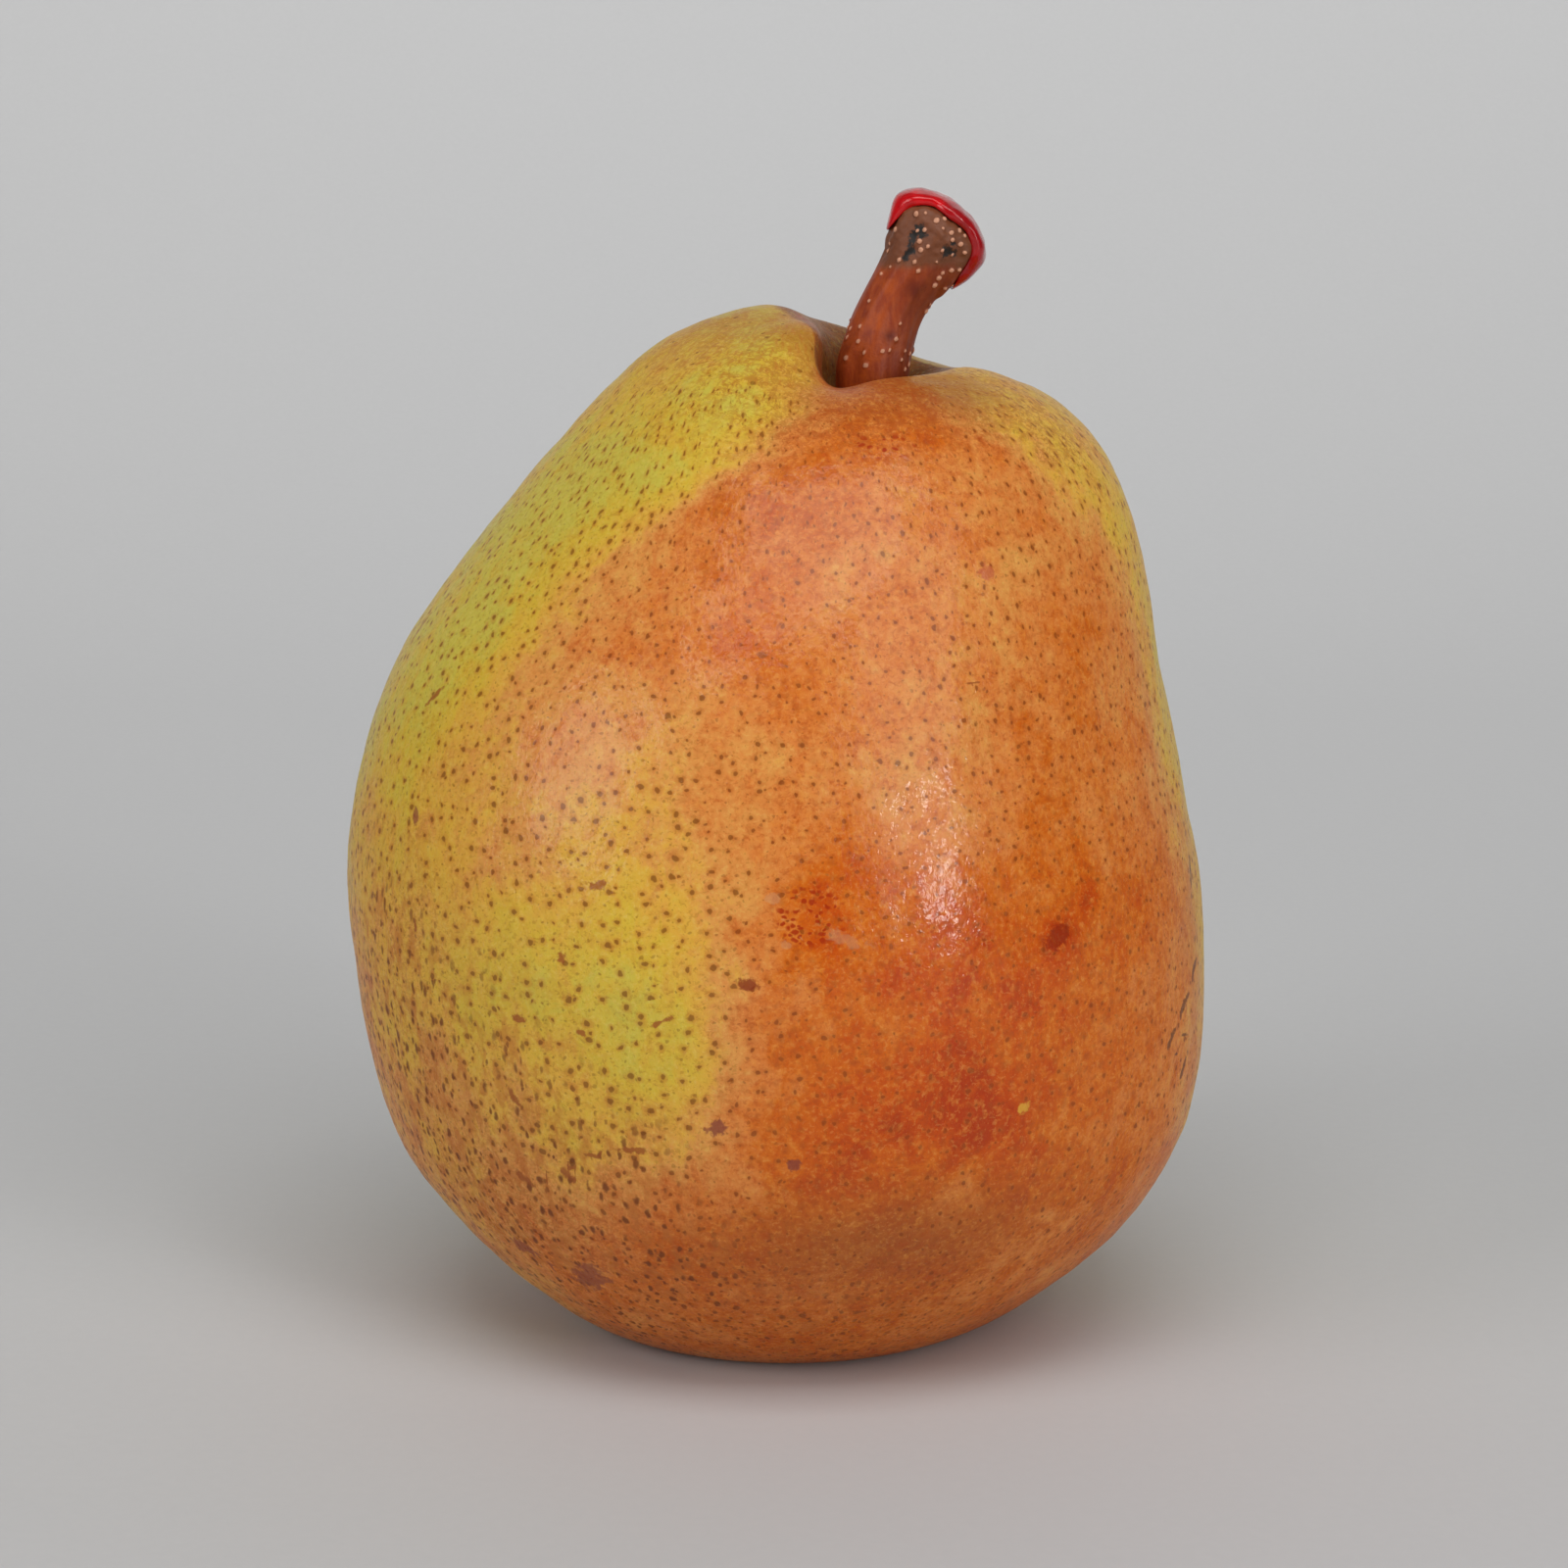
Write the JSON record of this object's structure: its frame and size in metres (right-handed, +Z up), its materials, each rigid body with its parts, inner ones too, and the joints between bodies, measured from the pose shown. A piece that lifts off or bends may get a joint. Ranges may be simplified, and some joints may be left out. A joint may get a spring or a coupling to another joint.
{
  "type": "pear",
  "caption": "Ripe squat dessert pear that stands on its base, with a woody stem, a dipped wax seal on the stem's cut end and the dried flower in the basin underneath.",
  "frame": {"origin": "on the surface that the pear stands on, under the middle of its bounding box", "axes": "+Z up along the pear's height, -Y towards its front, +X towards the side that the stem leans to"},
  "size_m": [0.0804, 0.08, 0.105],
  "materials": {
    "skin": "waxy satin pear skin, yellow-green to orange-red, with brown dots",
    "stem": "matte reddish-brown bark with small pale warts",
    "wax": "glossy slightly clear red sealing wax",
    "dried_flower": "dry matte dark brown"
  },
  "bodies": {
    "root": {"fruit": "skin", "stem": "stem", "stem_wax": "wax", "dried_stamens": "dried_flower", "sepal_1": "dried_flower", "sepal_2": "dried_flower", "sepal_3": "dried_flower", "sepal_4": "dried_flower", "sepal_5": "dried_flower"}
  },
  "joints": []
}
